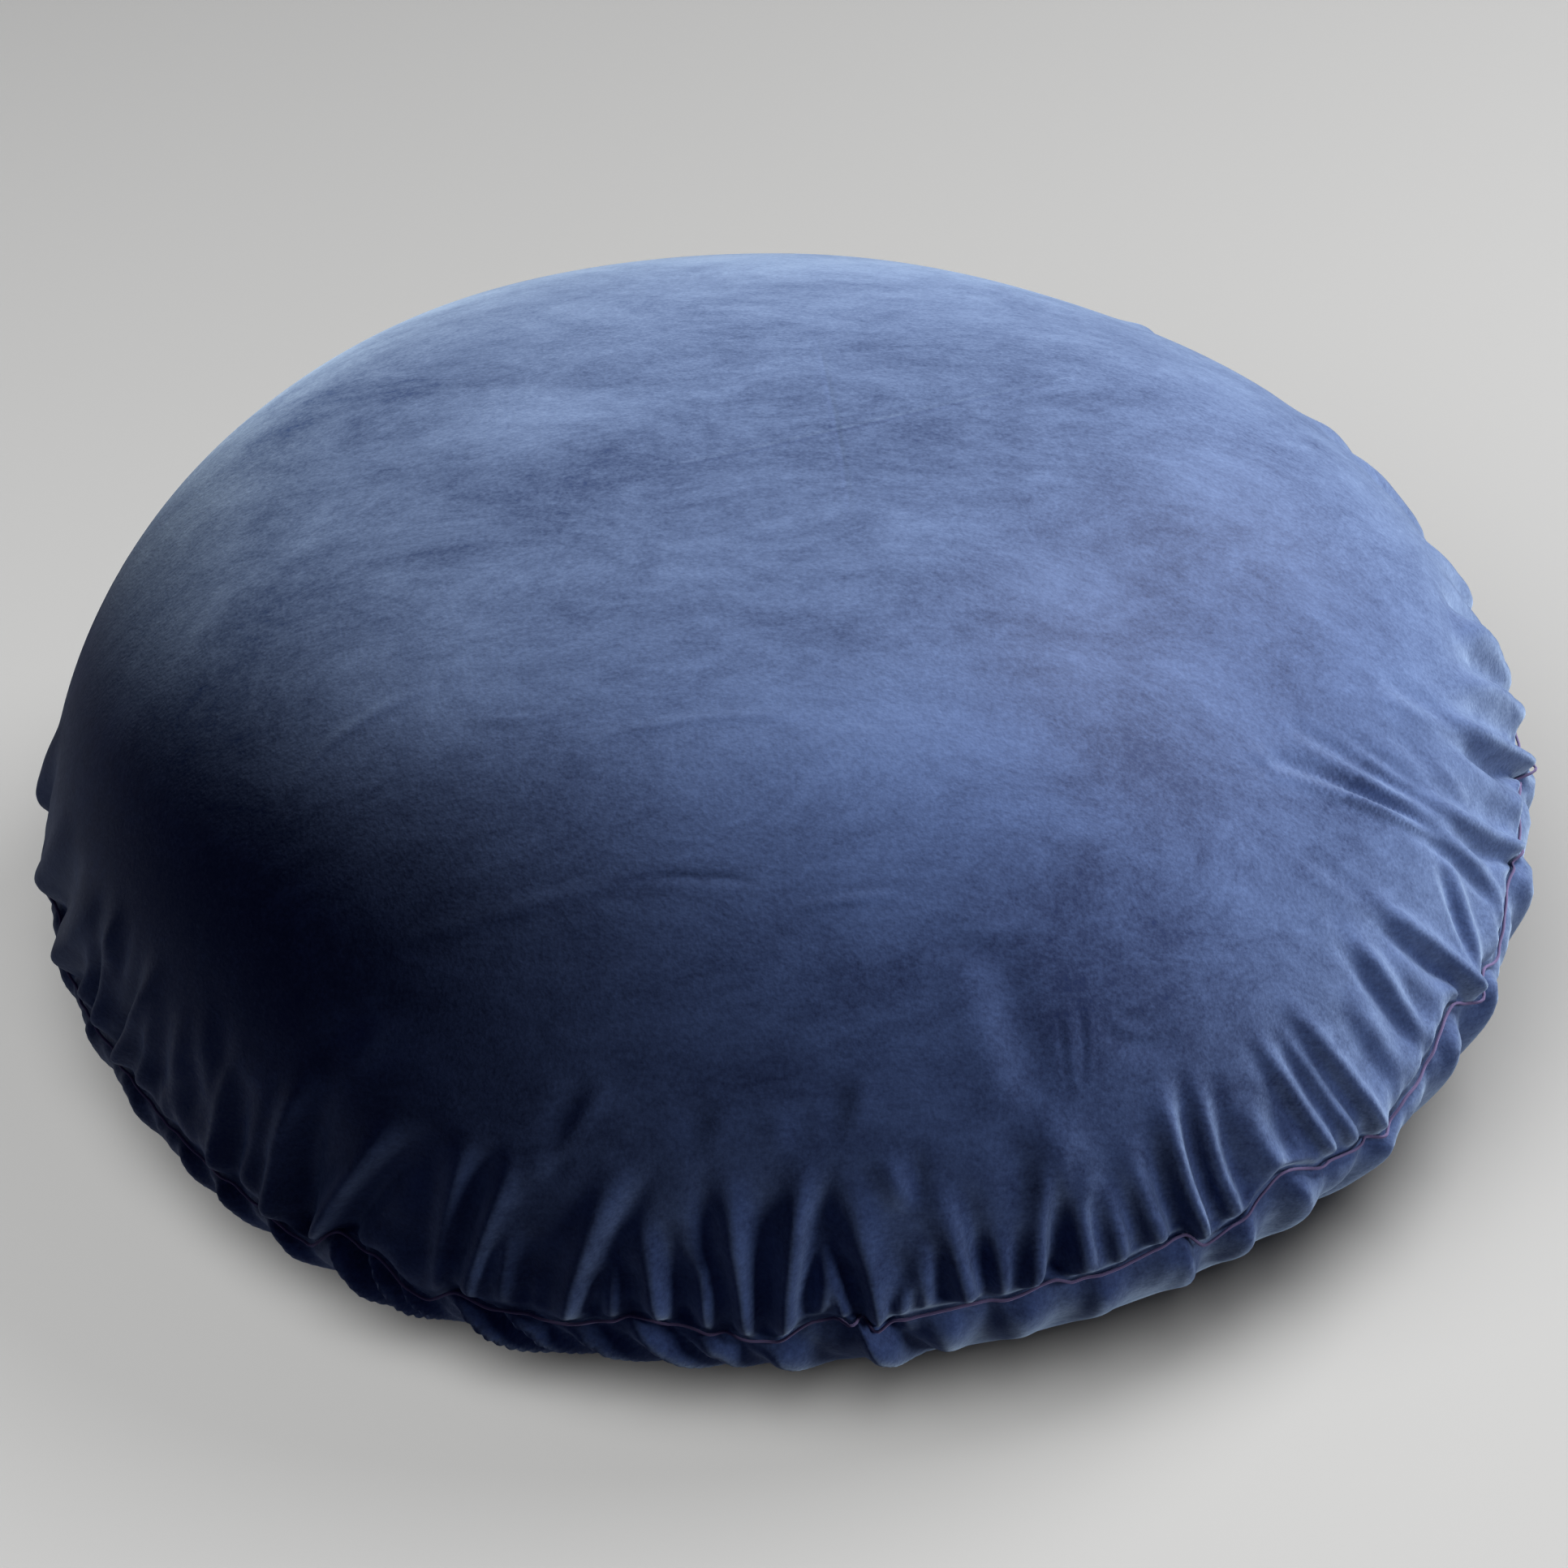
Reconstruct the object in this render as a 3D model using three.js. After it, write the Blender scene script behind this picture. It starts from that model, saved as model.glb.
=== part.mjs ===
// Round floor pillow: one filled cushion of two velvet panels with a closed, gathered seam.
// Millimetres, +Z up. The origin is the middle of the flat underside, the front faces -Y.
import * as THREE from 'three';
import { mergeVertices } from 'three/addons/utils/BufferGeometryUtils.js';

const CROWN_HEIGHT = 345;
const CROWN_SHIFT_BACK = 15;
const SEAM_GROOVE_DEPTH = 6;
const SEAM_GROOVE_WIDTH = 9;
const SEAM_WANDER_REACH = 30;
const GATHER_PULL_IN = 2;
const GATHER_PULL_REACH = 75;
const SEAM_LEAST_HEIGHT = 34;
const UNDERSIDE_TURN_IN = 84;
const UNDERSIDE_TURN_HEIGHT = 60;
const UNDERSIDE_TURN_POWER = 0.6;
const FRONT_STEP_DEG = 0.9;
const BACK_STEP_DEG = 1.5;
const VELVET_COLOUR = 0x3d4b73;

// The rim, from the right (+X) round the back (+Y): seam radius and height, how full the side stands,
// and how flat the crown is.
const rimStations = [
  { angleDeg: 0, radius: 449, seamHeight: 140, fullness: 1.5, crownPower: 2.7 },
  { angleDeg: 30, radius: 440, seamHeight: 183, fullness: 1.7, crownPower: 2.7 },
  { angleDeg: 60, radius: 433, seamHeight: 205, fullness: 1.8, crownPower: 2.7 },
  { angleDeg: 90, radius: 434, seamHeight: 187, fullness: 2.7, crownPower: 2.7 },
  { angleDeg: 120, radius: 440, seamHeight: 146, fullness: 3.4, crownPower: 2.7 },
  { angleDeg: 150, radius: 447, seamHeight: 111, fullness: 2.75, crownPower: 2.7 },
  { angleDeg: 180, radius: 450, seamHeight: 90, fullness: 2.1, crownPower: 2.7 },
  { angleDeg: 210, radius: 432, seamHeight: 66, fullness: 2.4, crownPower: 2.8 },
  { angleDeg: 240, radius: 425, seamHeight: 53, fullness: 2.1, crownPower: 3 },
  { angleDeg: 270, radius: 420, seamHeight: 56, fullness: 1.9, crownPower: 3 },
  { angleDeg: 300, radius: 431, seamHeight: 75, fullness: 1.6, crownPower: 3 },
  { angleDeg: 330, radius: 439, seamHeight: 98, fullness: 1.2, crownPower: 2.8 },
];

// How far the sewn line climbs or dips along the side where gathers pull on it.
const seamWander = [
  { angleDeg: 10, rise: 4 },
  { angleDeg: 28, rise: -5 },
  { angleDeg: 47, rise: 6 },
  { angleDeg: 71, rise: -4 },
  { angleDeg: 95, rise: 5 },
  { angleDeg: 118, rise: -6 },
  { angleDeg: 141, rise: 5 },
  { angleDeg: 163, rise: -4 },
  { angleDeg: 183, rise: 6 },
  { angleDeg: 196, rise: -5 },
  { angleDeg: 208, rise: 4 },
  { angleDeg: 223.5, rise: 2 },
  { angleDeg: 232, rise: -8 },
  { angleDeg: 235.8, rise: 16 },
  { angleDeg: 242.9, rise: -8 },
  { angleDeg: 245.6, rise: 6 },
  { angleDeg: 253, rise: 1 },
  { angleDeg: 259, rise: 12 },
  { angleDeg: 269.2, rise: -2 },
  { angleDeg: 274.8, rise: 14 },
  { angleDeg: 276.5, rise: 0 },
  { angleDeg: 283.7, rise: 10 },
  { angleDeg: 289.4, rise: 12 },
  { angleDeg: 294, rise: 6 },
  { angleDeg: 299.6, rise: 12 },
  { angleDeg: 304, rise: 2 },
  { angleDeg: 308.5, rise: 16 },
  { angleDeg: 318.5, rise: -6 },
  { angleDeg: 323, rise: 2 },
  { angleDeg: 330.4, rise: 16 },
  { angleDeg: 336, rise: -1 },
  { angleDeg: 344.2, rise: 15 },
  { angleDeg: 352.5, rise: 20 },
];

// Each gather runs up from the seam: where it starts, how it leans, how long, wide and proud it is,
// and which side of it the deeper hollow lies on.
const foldColumns = ['seamAngleDeg', 'leanDeg', 'startMm', 'endMm', 'halfWidthMm', 'proudMm', 'hollowSide'];
const foldRows = [
  [6, -5, 2, 110, 13, 9, 1],
  [15, -3, 4, 90, 11, 7, 1],
  [23, 2, 2, 120, 12, 8, 1],
  [33, -3, 3, 105, 13, 10, 1],
  [44, 4, 2, 85, 11, 7, 1],
  [54, -2, 4, 120, 12, 9, 1],
  [63, 3, 2, 95, 12, 8, 1],
  [74, -4, 3, 115, 13, 10, 1],
  [83, 2, 2, 80, 11, 7, 1],
  [92, -2, 4, 125, 12, 9, 1],
  [103, 4, 2, 100, 13, 10, 1],
  [112, -3, 3, 85, 11, 7, 1],
  [121, 2, 2, 120, 12, 9, 1],
  [132, -4, 4, 95, 13, 9, 1],
  [142, 3, 2, 115, 12, 8, 1],
  [151, -2, 3, 90, 12, 10, 1],
  [161, 4, 2, 120, 13, 9, 1],
  [170, -3, 4, 100, 11, 8, 1],
  [179, 4, 2, 90, 12, 10, 1],
  [187.5, 8, 0, 100, 15, 9, 1],
  [195, 9.5, 0, 95, 15, 9, 1],
  [201, 5, 6, 90, 11, 4, 1],
  [205, 3, 8, 125, 9, 5, -1],
  [208.7, 7, 2, 118, 9, 8, -1],
  [213.2, 2.4, 8, 90, 9, 5, 1],
  [221, 1.5, 20, 125, 12, 5, 1],
  [223, 1.2, 2, 84, 9, 6, 1],
  [229.4, 5.4, 3, 152, 10, 10, 1],
  [234, 7.4, 2, 118, 11, 12, 1],
  [241, 5.5, 5, 160, 11, 9, 1],
  [247.6, 4, 8, 120, 8, 10, 1],
  [255, 4, 2, 115, 10, 9, 1],
  [258.8, 0.4, 2, 60, 7, 8, 1],
  [261.4, -0.5, 2, 92, 7, 7, 1],
  [265.2, 0.5, 2, 66, 7, 7, 1],
  [267.4, 0.6, 2, 104, 8, 8, 1],
  [270.6, 1, 2, 138, 9, 8, 1],
  [275, 1, 0, 56, 8, 12, 1],
  [277, -2.4, 3, 142, 9, 8, 1],
  [283.2, -2.4, 2, 88, 9, 8, 1],
  [289, -1.6, 6, 92, 8, 8, 1],
  [292.2, -6.2, 4, 200, 13, 6, 1],
  [301.2, -2.7, 8, 100, 9, 12, 1],
  [303.8, -1.7, 8, 98, 9, 10, 1],
  [314.4, -5, 4, 106, 10, 6, -1],
  [319, -7.5, 0, 124, 10, 8, -1],
  [326, -5, 4, 130, 9, 5, -1],
  [334.2, -11.5, 0, 154, 9, 10, -1],
  [341.5, -14, 14, 210, 9, 8, -1],
  [347.6, -15.6, 0, 208, 9, 9, -1],
  [357.5, -12, 0, 164, 10, 10, -1],
];

// Tucks in the narrow strip under the seam, measured down from it.
const tuckColumns = ['seamAngleDeg', 'leanDeg', 'startMm', 'endMm', 'halfWidthMm', 'proudMm', 'hollowSide'];
const tuckRows = [
  [205, 3, 2, 60, 9, 4, 1],
  [214, 4, 2, 55, 9, 4, 1],
  [225, 5, 2, 58, 9, 4, 1],
  [235, 6, 2, 58, 8, 7, 1],
  [238.6, 6, 2, 58, 8, 6, 1],
  [246.4, 6, 2, 56, 9, 7, 1],
  [251, 6, 2, 56, 8, 6, 1],
  [255, 6, 2, 56, 8, 6, 1],
  [259.4, 5, 2, 54, 9, 6, 1],
  [276.8, 3, 0, 44, 8, 8, 1],
  [299, 3, 2, 60, 10, 5, 1],
  [309, 2, 2, 70, 11, 5, 1],
  [321, -3, 2, 80, 12, 6, 1],
  [334, -4, 2, 90, 13, 7, 1],
  [347, -3, 2, 100, 14, 7, 1],
  [2, 3, 2, 110, 14, 8, 1],
  [19, -3, 2, 120, 15, 8, 1],
  [38, 2, 2, 130, 15, 9, 1],
  [58, -3, 2, 140, 16, 9, 1],
  [80, 3, 2, 145, 16, 8, 1],
  [99, -2, 2, 145, 15, 9, 1],
  [117, 3, 2, 135, 16, 8, 1],
  [137, -3, 2, 120, 15, 9, 1],
  [156, 2, 2, 105, 14, 8, 1],
  [175, -3, 2, 90, 13, 7, 1],
  [192, 3, 2, 75, 11, 6, 1],
];

// Broad dents and swells of the loose filling, by where they lie.
const fillingLumps = [
  { angleDeg: -115, upFromSeam: 300, spread: 90, proud: 4 },
  { angleDeg: -40, upFromSeam: 250, spread: 80, proud: -5 },
  { angleDeg: 25, upFromSeam: 240, spread: 85, proud: 4 },
  { angleDeg: 100, upFromSeam: 230, spread: 95, proud: -4 },
  { angleDeg: 165, upFromSeam: 260, spread: 80, proud: 5 },
];

// Rings up the top panel, as distances from the seam, with the angle step each one takes.
const upperRings = [
  { upFromSeam: 5, stepFactor: 1 },
  { upFromSeam: 14, stepFactor: 1 },
  { upFromSeam: 27, stepFactor: 1 },
  { upFromSeam: 43, stepFactor: 1 },
  { upFromSeam: 62, stepFactor: 1 },
  { upFromSeam: 84, stepFactor: 1 },
  { upFromSeam: 110, stepFactor: 2 },
  { upFromSeam: 145, stepFactor: 2 },
  { upFromSeam: 185, stepFactor: 3 },
  { upFromSeam: 235, stepFactor: 4 },
  { upFromSeam: 290, stepFactor: 6 },
];
const crownRings = [
  { share: 0.7, stepFactor: 8 },
  { share: 0.4, stepFactor: 12 },
];

// Rings down the bottom panel, as shares of the way from the seam to the floor.
const lowerRings = [
  { share: 0.07, stepFactor: 1 },
  { share: 0.2, stepFactor: 1 },
  { share: 0.42, stepFactor: 1 },
  { share: 0.7, stepFactor: 2 },
  { share: 0.9, stepFactor: 2 },
  { share: 1, stepFactor: 2 },
];

const toRadians = (degrees) => (degrees * Math.PI) / 180;
const wrapDegrees = (degrees) => ((degrees % 360) + 540) % 360 - 180;
const named = (columns, rows) =>
  rows.map((row) => Object.fromEntries(columns.map((column, index) => [column, row[index]])));
const folds = named(foldColumns, foldRows);
const tucks = named(tuckColumns, tuckRows);

// Catmull-Rom through the evenly spaced rim stations.
function rimValue(key, angleDeg) {
  const count = rimStations.length;
  const place = ((((angleDeg % 360) + 360) % 360) / 360) * count;
  const first = Math.floor(place) % count;
  const part = place - Math.floor(place);
  const [before, start, end, after] = [-1, 0, 1, 2].map(
    (offset) => rimStations[(first + offset + count) % count][key],
  );
  const slope = (end - before) * part;
  const bend = (2 * before - 5 * start + 4 * end - after) * part ** 2;
  const twist = (3 * start - before - 3 * end + after) * part ** 3;
  return 0.5 * (2 * start + slope + bend + twist);
}

// Smooth steps between the unevenly spaced wander points.
function seamRise(angleDeg) {
  const angle = ((angleDeg % 360) + 360) % 360;
  const count = seamWander.length;
  let next = seamWander.findIndex((point) => point.angleDeg > angle);
  if (next < 0) next = 0;
  const from = seamWander[(next + count - 1) % count];
  const to = seamWander[next];
  const span = (to.angleDeg - from.angleDeg + 360) % 360;
  const part = ((angle - from.angleDeg + 360) % 360) / span;
  const ease = part * part * (3 - 2 * part);
  return from.rise + (to.rise - from.rise) * ease;
}

// The section of the pillow at one angle, from the edge of its foot up over the crown.
function sectionAt(angleDeg) {
  const radius = rimValue('radius', angleDeg);
  const seamHeight = rimValue('seamHeight', angleDeg);
  const fullness = rimValue('fullness', angleDeg);
  const crownPower = rimValue('crownPower', angleDeg);
  const turnIn = UNDERSIDE_TURN_IN * (seamHeight / UNDERSIDE_TURN_HEIGHT) ** UNDERSIDE_TURN_POWER;
  const points = [];
  const undersideSteps = 24;
  for (let step = 0; step < undersideSteps; step += 1) {
    const turn = toRadians(90 * (1 - step / undersideSteps));
    const inward = radius - turnIn * (1 - Math.cos(turn));
    points.push({ out: inward, up: seamHeight * (1 - Math.sin(turn)), inner: 0 });
  }
  const seamIndex = points.length;
  const crownSteps = 90;
  for (let step = 0; step <= crownSteps; step += 1) {
    const share = (1 - step / crownSteps) ** 1.6;
    const rise = (1 - share ** crownPower) ** (1 / fullness);
    points.push({ out: radius * share, up: seamHeight + (CROWN_HEIGHT - seamHeight) * rise, inner: 1 - share });
  }
  let travelled = 0;
  points.forEach((point, index) => {
    if (index > 0) {
      const previous = points[index - 1];
      travelled += Math.hypot(point.out - previous.out, point.up - previous.up);
    }
    point.along = travelled;
  });
  const seamAlong = points[seamIndex].along;
  points.forEach((point) => {
    point.along -= seamAlong;
  });
  return { points, below: seamAlong, above: travelled - seamAlong };
}

const sectionCache = new Map();
function section(angleDeg) {
  const key = angleDeg.toFixed(4);
  if (!sectionCache.has(key)) sectionCache.set(key, sectionAt(angleDeg));
  return sectionCache.get(key);
}

// A point of the section and the direction that faces out of it there.
function onSection(angleDeg, along) {
  const { points } = section(angleDeg);
  let index = points.findIndex((point) => point.along >= along);
  if (index < 0) index = points.length - 1;
  index = Math.max(index, 1);
  const low = points[index - 1];
  const high = points[index];
  const length = high.along - low.along;
  const part = THREE.MathUtils.clamp((along - low.along) / length, 0, 1);
  const mix = (key) => low[key] + (high[key] - low[key]) * part;
  return {
    out: mix('out'),
    up: mix('up'),
    inner: mix('inner'),
    normalOut: (high.up - low.up) / length,
    normalUp: (low.out - high.out) / length,
  };
}

// One fold: quick to rise out of the seam, slow to fade, with a hollow along one side.
function foldHeight(fold, angleDeg, distance) {
  if (distance <= fold.startMm || distance >= fold.endMm) return 0;
  const part = (distance - fold.startMm) / (fold.endMm - fold.startMm);
  const centre = fold.seamAngleDeg + fold.leanDeg * part;
  const aside = (toRadians(wrapDegrees(angleDeg - centre)) * 435) / (fold.halfWidthMm * (0.7 + 0.6 * part));
  if (Math.abs(aside) > 4) return 0;
  const strength = Math.sin(Math.PI * part ** 0.6);
  const ridge = Math.exp(-(aside ** 2));
  const hollow = Math.exp(-(((aside - 1.5 * fold.hollowSide) / 0.8) ** 2));
  return fold.proudMm * strength * (ridge - 0.5 * hollow);
}

function lumpHeight(angleDeg, upFromSeam) {
  return fillingLumps.reduce((sum, lump) => {
    const aside = toRadians(wrapDegrees(angleDeg - lump.angleDeg)) * Math.max(430 - lump.upFromSeam, 60);
    const square = (aside ** 2 + (upFromSeam - lump.upFromSeam) ** 2) / lump.spread ** 2;
    return sum + lump.proud * Math.exp(-square);
  }, 0);
}

// A surface point: the angle, and the distance up (+) or down (-) from the sewn line.
function surfacePoint(angleDeg, fromSeam) {
  const { above, below } = section(angleDeg);
  const rise = seamRise(angleDeg) * Math.exp(-Math.abs(fromSeam) / SEAM_WANDER_REACH);
  const along = THREE.MathUtils.clamp(fromSeam + rise, -below, above);
  const place = onSection(angleDeg, along);
  const groove = -SEAM_GROOVE_DEPTH * Math.exp(-((fromSeam / SEAM_GROOVE_WIDTH) ** 2));
  const list = fromSeam > 0 ? folds : tucks;
  const reach = fromSeam > 0 ? fromSeam : -fromSeam;
  const fold = list.reduce((sum, row) => sum + foldHeight(row, angleDeg, reach), 0);
  const lump = fromSeam > 0 ? lumpHeight(angleDeg, fromSeam) : 0;
  const pull = -GATHER_PULL_IN * Math.exp(-((fromSeam / GATHER_PULL_REACH) ** 2));
  const onFloor = THREE.MathUtils.smoothstep(below + fromSeam, 0, 40);
  const push = fromSeam > 0 ? groove + pull + fold + lump : (groove + pull + fold) * onFloor;
  const out = place.out + push * place.normalOut;
  const up = Math.max(place.up + push * place.normalUp, 0);
  const angle = toRadians(angleDeg);
  return new THREE.Vector3(
    out * Math.cos(angle),
    out * Math.sin(angle) + CROWN_SHIFT_BACK * place.inner,
    up,
  );
}

// The angles of a ring: finer round the front half, where the gathers are closest.
function ringAngles(stepFactor) {
  const angles = [];
  const frontCount = Math.round(180 / (FRONT_STEP_DEG * stepFactor));
  const backCount = Math.round(180 / (BACK_STEP_DEG * stepFactor));
  for (let step = 0; step < backCount; step += 1) angles.push((180 * step) / backCount);
  for (let step = 0; step < frontCount; step += 1) angles.push(180 + (180 * step) / frontCount);
  return angles;
}

const vertices = [];
const triangles = [];

function addRing(stepFactor, place) {
  const angles = ringAngles(stepFactor);
  const first = vertices.length;
  angles.forEach((angleDeg) => vertices.push(place(angleDeg)));
  return { angles, first };
}

// Joins two closed rings of any two counts, always by the shorter way round.
function joinRings(lower, upper) {
  const angleOf = (ring, step) =>
    ring.angles[step % ring.angles.length] + 360 * Math.floor(step / ring.angles.length);
  const vertexOf = (ring, step) => ring.first + (step % ring.angles.length);
  let low = 0;
  let high = 0;
  while (low < lower.angles.length || high < upper.angles.length) {
    const lowNext = angleOf(lower, low + 1);
    const highNext = angleOf(upper, high + 1);
    const stepLow = high >= upper.angles.length || (low < lower.angles.length && lowNext <= highNext);
    if (stepLow) {
      triangles.push(vertexOf(lower, low), vertexOf(lower, low + 1), vertexOf(upper, high));
      low += 1;
    } else {
      triangles.push(vertexOf(lower, low), vertexOf(upper, high + 1), vertexOf(upper, high));
      high += 1;
    }
  }
}

function joinToPoint(ring, point, facesUp) {
  const centre = vertices.length;
  vertices.push(point);
  const count = ring.angles.length;
  for (let step = 0; step < count; step += 1) {
    const here = ring.first + step;
    const next = ring.first + ((step + 1) % count);
    if (facesUp) triangles.push(here, next, centre);
    else triangles.push(next, here, centre);
  }
}

function buildPillow() {
  const fromFoot = [...lowerRings].reverse();
  const lower = fromFoot.map(({ share, stepFactor }) =>
    addRing(stepFactor, (angleDeg) => {
      const rise = Math.min(seamRise(angleDeg), 0);
      const { below } = section(angleDeg);
      return surfacePoint(angleDeg, -share * Math.max(below + rise * (1 - share), SEAM_LEAST_HEIGHT));
    }),
  );
  const seam = addRing(1, (angleDeg) => surfacePoint(angleDeg, 0));
  const upper = upperRings.map(({ upFromSeam, stepFactor }) =>
    addRing(stepFactor, (angleDeg) => surfacePoint(angleDeg, upFromSeam)),
  );
  const lastUp = upperRings[upperRings.length - 1].upFromSeam;
  const crown = crownRings.map(({ share, stepFactor }) =>
    addRing(stepFactor, (angleDeg) => {
      const { above } = section(angleDeg);
      return surfacePoint(angleDeg, above - (above - lastUp) * share);
    }),
  );
  const rings = [...lower, seam, ...upper, ...crown];
  for (let index = 1; index < rings.length; index += 1) joinRings(rings[index - 1], rings[index]);
  joinToPoint(rings[0], new THREE.Vector3(0, 0, 0), false);
  joinToPoint(rings[rings.length - 1], new THREE.Vector3(0, CROWN_SHIFT_BACK, CROWN_HEIGHT), true);

  const geometry = new THREE.BufferGeometry();
  const flat = vertices.flatMap((vertex) => [vertex.x, vertex.y, vertex.z]);
  geometry.setAttribute('position', new THREE.Float32BufferAttribute(flat, 3));
  geometry.setIndex(triangles);
  const closed = mergeVertices(geometry, 1e-4);
  closed.computeBoundingBox();
  const middle = closed.boundingBox.getCenter(new THREE.Vector3());
  closed.translate(-middle.x, -middle.y, 0);
  closed.computeVertexNormals();
  return closed;
}

const velvet = new THREE.MeshStandardMaterial({ color: VELVET_COLOUR, roughness: 0.85, metalness: 0 });
const pillow = new THREE.Mesh(buildPillow(), velvet);
pillow.name = 'floor_pillow';

const floorPillow = new THREE.Group();
floorPillow.add(pillow);

export default floorPillow;
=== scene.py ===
# Round velvet floor pillow for Blender 4.5. Metres, +Z up, the front faces -Y.
# Tables are in millimetres and degrees, because that is how a maker measures cloth.
import math
import bpy
import numpy as np
from mathutils import Matrix, Vector


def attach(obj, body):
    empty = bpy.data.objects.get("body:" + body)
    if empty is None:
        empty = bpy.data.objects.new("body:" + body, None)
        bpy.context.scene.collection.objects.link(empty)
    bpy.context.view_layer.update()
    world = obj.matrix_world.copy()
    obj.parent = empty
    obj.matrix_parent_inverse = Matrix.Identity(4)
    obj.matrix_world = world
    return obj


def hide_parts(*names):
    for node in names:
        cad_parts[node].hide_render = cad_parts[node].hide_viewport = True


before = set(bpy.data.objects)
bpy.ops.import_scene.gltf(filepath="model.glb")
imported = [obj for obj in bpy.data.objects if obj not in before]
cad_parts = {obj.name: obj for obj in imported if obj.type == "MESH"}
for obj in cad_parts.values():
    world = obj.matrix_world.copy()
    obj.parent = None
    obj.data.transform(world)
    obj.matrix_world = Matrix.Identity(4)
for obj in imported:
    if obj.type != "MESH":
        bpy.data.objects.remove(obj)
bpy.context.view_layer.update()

scene = bpy.context.scene
scene.view_settings.view_transform = "Standard"    # plain colours, as a camera gives them

# View, floor and light
viewPoint = {
    "aside": 0.0021,
    "inFront": 1.7715,      # from the middle of the pillow, along the floor
    "aboveFloor": 1.3456,
    "lookDown": 34.81,
    "roll": -0.2,
    "lens": 80.8,           # in mm, as is the picture's width
    "pictureWidth": 36,
    "seeTo": 60,
}
studio = {
    "floorColour": "#666665",
    "floorHalf": 9.0,
    "floorRoughness": 0.7,
    "skyColour": "#a9b0f2",
    "skyStrength": 0.05,
    "windowFrom": (2.2, 1.8, 2.8),   # large soft window, behind and to the right
    "windowSize": 2.4,
    "windowWatts": 320.0,
    "windowAim": (0, 0, 0.15),
    "sideFrom": (2.8, -1.2, 1.1),    # a second, weaker window at the right, which spares the floor
    "sideSize": 1.4,
    "sideWatts": 58.0,
    "floorFrom": (-1.3, -1.6, 3.4),  # soft light that falls on the floor alone
    "floorSize": 5.5,
    "floorWatts": 740.0,
    "floorAim": (-0.3, -0.3, 0),
}


def linearColour(hexColour, alpha=1.0):
    parts = [int(hexColour[i:i + 2], 16) / 255 for i in (1, 3, 5)]
    return (*[p / 12.92 if p <= 0.04045 else ((p + 0.055) / 1.055) ** 2.4 for p in parts], alpha)


def addNode(tree, kind, settings=None, links=None):
    node = tree.nodes.new(kind)
    for name, value in (settings or {}).items():
        if hasattr(node, name) and name not in node.inputs:
            setattr(node, name, value)
        else:
            node.inputs[name].default_value = value
    for name, source in (links or {}).items():
        tree.links.new(source, node.inputs[name])
    return node


def makeCamera():
    data = bpy.data.cameras.new("photoCamera")
    data.lens = viewPoint["lens"]
    data.sensor_width = viewPoint["pictureWidth"]
    data.clip_end = viewPoint["seeTo"]
    camera = bpy.data.objects.new("photoCamera", data)
    tilt = Matrix.Rotation(math.radians(90 - viewPoint["lookDown"]), 4, "X")
    roll = Matrix.Rotation(math.radians(viewPoint["roll"]), 4, "Z")
    place = Matrix.Translation((viewPoint["aside"], -viewPoint["inFront"], viewPoint["aboveFloor"]))
    camera.matrix_world = place @ tilt @ roll
    scene.collection.objects.link(camera)
    scene.camera = camera


def makeAreaLight(part, aim, floor=None, floorLink="INCLUDE"):
    # a floor linked as INCLUDE is all that the light falls on, as EXCLUDE the one thing that it spares
    place = studio[part + "From"]
    data = bpy.data.lights.new(part + "Light", "AREA")
    data.shape = "DISK"
    data.size = studio[part + "Size"]
    data.energy = studio[part + "Watts"]
    light = bpy.data.objects.new(part + "Light", data)
    light.location = place
    light.rotation_euler = (Vector(aim) - Vector(place)).to_track_quat("-Z", "Y").to_euler()
    scene.collection.objects.link(light)
    if floor:
        group = bpy.data.collections.new(part + "Links")
        group.objects.link(floor)
        group.collection_objects[0].light_linking.link_state = floorLink
        light.light_linking.receiver_collection = group


def makeStudio():
    world = bpy.data.worlds.new("softRoom")
    world.use_nodes = True
    background = world.node_tree.nodes["Background"]
    background.inputs["Color"].default_value = linearColour(studio["skyColour"])
    background.inputs["Strength"].default_value = studio["skyStrength"]
    scene.world = world
    mesh = bpy.data.meshes.new("studioFloor")
    half = studio["floorHalf"]
    corners = [(-half, -half, 0), (half, -half, 0), (half, half, 0), (-half, half, 0)]
    mesh.from_pydata(corners, [], [(0, 1, 2, 3)])
    floor = bpy.data.objects.new("studioFloor", mesh)
    scene.collection.objects.link(floor)
    paint = bpy.data.materials.new("paleFloor")
    paint.use_nodes = True
    shader = paint.node_tree.nodes["Principled BSDF"]
    shader.inputs["Base Color"].default_value = linearColour(studio["floorColour"])
    shader.inputs["Roughness"].default_value = studio["floorRoughness"]
    mesh.materials.append(paint)
    floor.visible_diffuse = False    # it sends no light back up: the photo is dark low down
    makeAreaLight("window", studio["windowAim"])
    makeAreaLight("side", studio["windowAim"], floor, "EXCLUDE")
    makeAreaLight("floor", studio["floorAim"], floor)


# The pillow's form
pillow = {
    "crownHeight": 345,
    "crownShiftBack": 15,
    "rimRadius": 435,         # turns an angle round the rim into millimetres
    "turnIn": 84,             # the bottom panel turns in this far where the seam is turnHeight up
    "turnHeight": 60,
    "turnPower": 0.6,
    "grooveDepth": 4.5,       # the sewn line lies this deep
    "grooveWidth": 6,
    "lipProud": 2.5,          # and the cloth swells a little on both sides of it
    "lipAt": 18,
    "lipWidth": 14,
    "pullIn": 2,              # and the stitches draw a wider band of cloth in
    "pullAt": 38,
    "pullReach": 45,
    "wanderReach": 30,        # how far up and down the cloth follows the seam's climbs and dips
    "flatEdge": 40,           # folds fade out over this much cloth towards the floor
    "fill": 0.75,             # from 0, slack, to 1, tight
}

# The next three hold fixed values: what a user would change is above.

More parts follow.
